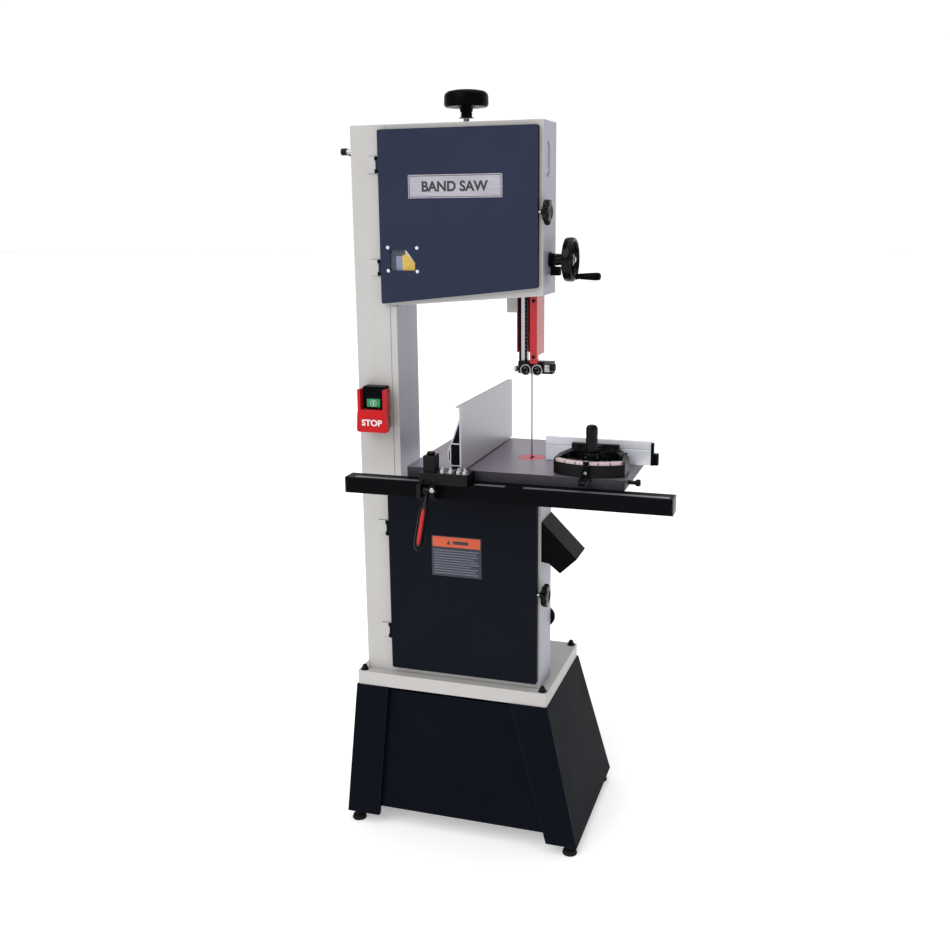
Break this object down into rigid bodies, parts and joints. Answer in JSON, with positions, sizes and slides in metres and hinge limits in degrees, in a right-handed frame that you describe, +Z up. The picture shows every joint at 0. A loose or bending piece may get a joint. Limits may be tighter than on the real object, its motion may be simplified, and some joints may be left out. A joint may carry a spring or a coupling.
{
  "type": "band saw",
  "caption": "Floor-standing band saw: box column with two wheel casings, tilting table with rip fence and miter gauge, adjustable blade guides, on a flared stand.",
  "frame": {"origin": "on the floor, below the centre of the saw's bounding box", "axes": "+Z up the column, +X to the operator's right, -Y towards the operator, who faces the doors"},
  "size_m": [0.908, 0.6312, 1.945],
  "materials": {
    "frame_paint": "semi-gloss light grey paint",
    "door_paint": "textured slate blue paint",
    "lower_door_paint": "textured near-black navy paint",
    "stand_paint": "satin dark navy paint",
    "guard_paint": "gloss red paint",
    "black_paint": "satin black paint",
    "black_plastic": "moulded black plastic",
    "cast_iron": "ground or machined cast iron",
    "steel": "machined steel",
    "aluminium": "extruded aluminium, satin",
    "rubber": "black rubber",
    "red_plastic": "gloss red plastic",
    "green_plastic": "gloss green plastic",
    "clear_plastic": "clear window"
  },
  "bodies": {
    "frame": {"base_plate": "frame_paint", "stand_left_side": "stand_paint", "stand_right_side": "stand_paint", "stand_front_panel": "stand_paint", "stand_back_panel": "stand_paint", "foot_front_left": "rubber", "foot_front_right": "rubber", "foot_back_left": "rubber", "foot_back_right": "rubber", "column_front_channel": "frame_paint", "column_inner_channel": "frame_paint", "column_rear_channel": "frame_paint", "upper_casing": "frame_paint", "lower_casing": "frame_paint", "post_gearbox": "black_plastic", "lower_guide_block": "steel", "table_cradle": "cast_iron", "dust_chute": "black_plastic", "motor": "black_paint", "switch_box": "black_plastic", "blade_cutting_run": "steel", "blade_back_loop": "steel", "drive_belt": "rubber"},
    "upper_door": {"upper_door": "door_paint", "window_glass": "clear_plastic", "nameplate": "aluminium"},
    "upper_latch": {"upper_latch_knob": "black_plastic"},
    "lower_door": {"lower_door": "lower_door_paint"},
    "lower_latch": {"lower_latch_knob": "black_plastic"},
    "upper_wheel": {"upper_wheel": "cast_iron", "upper_tyre": "rubber"},
    "lower_wheel": {"lower_wheel": "cast_iron", "lower_tyre": "rubber", "drive_pulley": "aluminium"},
    "motor_rotor": {"motor_pulley": "aluminium"},
    "wheel_slide": {"wheel_slide_block": "cast_iron"},
    "wheel_axle": {"wheel_axle_bracket": "cast_iron"},
    "tension_knob": {"tension_knob": "black_plastic"},
    "tracking_knob": {"tracking_knob": "black_plastic"},
    "release_lever": {"release_lever": "black_plastic"},
    "guide_post": {"guide_post": "steel", "blade_guard": "guard_paint", "upper_guide_block": "steel"},
    "guide_bearing_left": {"guide_bearing_left": "steel"},
    "guide_bearing_right": {"guide_bearing_right": "steel"},
    "handwheel": {"handwheel": "black_plastic"},
    "crank_handle": {"crank_handle": "black_plastic"},
    "table": {"table": "cast_iron", "table_insert": "red_plastic", "table_trunnion": "cast_iron", "front_rail": "black_paint"},
    "rip_fence": {"rip_fence": "aluminium", "fence_carriage": "black_paint"},
    "fence_lock": {"fence_lock_lever": "black_plastic"},
    "miter_bar": {"miter_bar": "steel"},
    "miter_head": {"miter_head": "black_paint", "miter_fence": "aluminium"},
    "miter_handle": {"miter_handle": "black_plastic"},
    "start_button": {"start_button": "green_plastic"},
    "stop_paddle": {"stop_paddle": "red_plastic"}
  },
  "joints": [
    {"name": "upper_door_swing", "type": "hinge", "parent": "frame", "child": "upper_door", "pos_m": [-0.311, -0.06435, 1.64], "axis": [0, 0, -1], "range_deg": [0, 120]},
    {"name": "upper_latch_turn", "type": "hinge", "parent": "upper_door", "child": "upper_latch", "pos_m": [0.112, -0.06585, 1.652], "axis": [1, 0, 0], "range_deg": [0, 90]},
    {"name": "lower_door_swing", "type": "hinge", "parent": "frame", "child": "lower_door", "pos_m": [-0.311, -0.06435, 0.7], "axis": [0, 0, -1], "range_deg": [0, 36]},
    {"name": "lower_latch_turn", "type": "hinge", "parent": "lower_door", "child": "lower_latch", "pos_m": [0.112, -0.06585, 0.697], "axis": [1, 0, 0], "range_deg": [0, 90]},
    {"name": "lower_wheel_spin", "type": "hinge", "parent": "frame", "child": "lower_wheel", "pos_m": [-0.1168, 0.01165, 0.665], "axis": [0, 1, 0], "continuous": true},
    {"name": "motor_spin", "type": "hinge", "parent": "frame", "child": "motor_rotor", "pos_m": [-0.31, 0.01165, 0.53], "axis": [0, 1, 0], "continuous": true},
    {"name": "tension_knob_turn", "type": "hinge", "parent": "frame", "child": "tension_knob", "pos_m": [-0.1168, 0.04965, 1.9], "axis": [0, 0, 1], "range_deg": [-1800, 0]},
    {"name": "wheel_slide", "type": "slide", "parent": "frame", "child": "wheel_slide", "axis": [0, 0, 1], "range_m": [-0.01, 0]},
    {"name": "tracking_knob_turn", "type": "hinge", "parent": "wheel_slide", "child": "tracking_knob", "pos_m": [-0.1168, 0.06165, 1.628], "axis": [0, 1, 0], "range_deg": [-180, 180]},
    {"name": "wheel_tilt", "type": "hinge", "parent": "wheel_slide", "child": "wheel_axle", "pos_m": [-0.1168, 0.04165, 1.655], "axis": [1, 0, 0], "range_deg": [-1, 1]},
    {"name": "upper_wheel_spin", "type": "hinge", "parent": "wheel_axle", "child": "upper_wheel", "pos_m": [-0.1168, 0.01165, 1.655], "axis": [0, 1, 0], "continuous": true},
    {"name": "release_lever_turn", "type": "hinge", "parent": "frame", "child": "release_lever", "pos_m": [-0.388, 0.04165, 1.806], "axis": [1, 0, 0], "range_deg": [0, 90]},
    {"name": "guide_post_slide", "type": "slide", "parent": "frame", "child": "guide_post", "axis": [0, 0, 1], "range_m": [-0.145, 0.115]},
    {"name": "guide_bearing_left_spin", "type": "hinge", "parent": "guide_post", "child": "guide_bearing_left", "pos_m": [0.04715, 0.00865, 1.266], "axis": [0, 1, 0], "continuous": true},
    {"name": "guide_bearing_right_spin", "type": "hinge", "parent": "guide_post", "child": "guide_bearing_right", "pos_m": [0.07685, 0.00865, 1.266], "axis": [0, 1, 0], "continuous": true},
    {"name": "handwheel_turn", "type": "hinge", "parent": "frame", "child": "handwheel", "pos_m": [0.152, 0.00265, 1.539], "axis": [1, 0, 0], "range_deg": [-840, 665]},
    {"name": "crank_handle_spin", "type": "hinge", "parent": "handwheel", "child": "crank_handle", "pos_m": [0.202, 0.00265, 1.499], "axis": [1, 0, 0], "continuous": true},
    {"name": "table_tilt", "type": "hinge", "parent": "frame", "child": "table", "pos_m": [0.062, 0.01165, 1.04], "axis": [0, 1, 0], "range_deg": [-5, 20]},
    {"name": "fence_slide", "type": "slide", "parent": "table", "child": "rip_fence", "axis": [1, 0, 0], "range_m": [-0.15, 0.05]},
    {"name": "fence_lock_turn", "type": "hinge", "parent": "rip_fence", "child": "fence_lock", "pos_m": [-0.132, -0.23835, 1], "axis": [-1, 0, 0], "range_deg": [0, 60]},
    {"name": "miter_slide", "type": "slide", "parent": "table", "child": "miter_bar", "axis": [0, 1, 0], "range_m": [-0.1, 0.2]},
    {"name": "miter_swing", "type": "hinge", "parent": "miter_bar", "child": "miter_head", "pos_m": [0.244, -0.02835, 1.06], "axis": [0, 0, 1], "range_deg": [-45, 45]},
    {"name": "miter_handle_turn", "type": "hinge", "parent": "miter_head", "child": "miter_handle", "pos_m": [0.244, -0.11335, 1.12], "axis": [0, 0, 1], "range_deg": [-180, 180]},
    {"name": "start_button_press", "type": "slide", "parent": "frame", "child": "start_button", "axis": [0, 1, 0], "range_m": [0, 0.004], "stiffness_N_per_m": 600, "springref_m": -0.002},
    {"name": "stop_paddle_press", "type": "hinge", "parent": "frame", "child": "stop_paddle", "pos_m": [-0.329, -0.08035, 1.212], "axis": [1, 0, 0], "range_deg": [0, 6], "stiffness_Nm_per_rad": 1.2, "springref_deg": -8.59}
  ],
  "couplings": [
    {"joint": "upper_wheel_spin", "follows": "lower_wheel_spin", "ratio": 1},
    {"joint": "motor_spin", "follows": "lower_wheel_spin", "ratio": 2.15},
    {"joint": "wheel_slide", "follows": "tension_knob_turn", "m_per_rad": 0.000318},
    {"joint": "wheel_tilt", "follows": "tracking_knob_turn", "ratio": 0.00555},
    {"joint": "handwheel_turn", "follows": "guide_post_slide", "rad_per_m": 100}
  ]
}
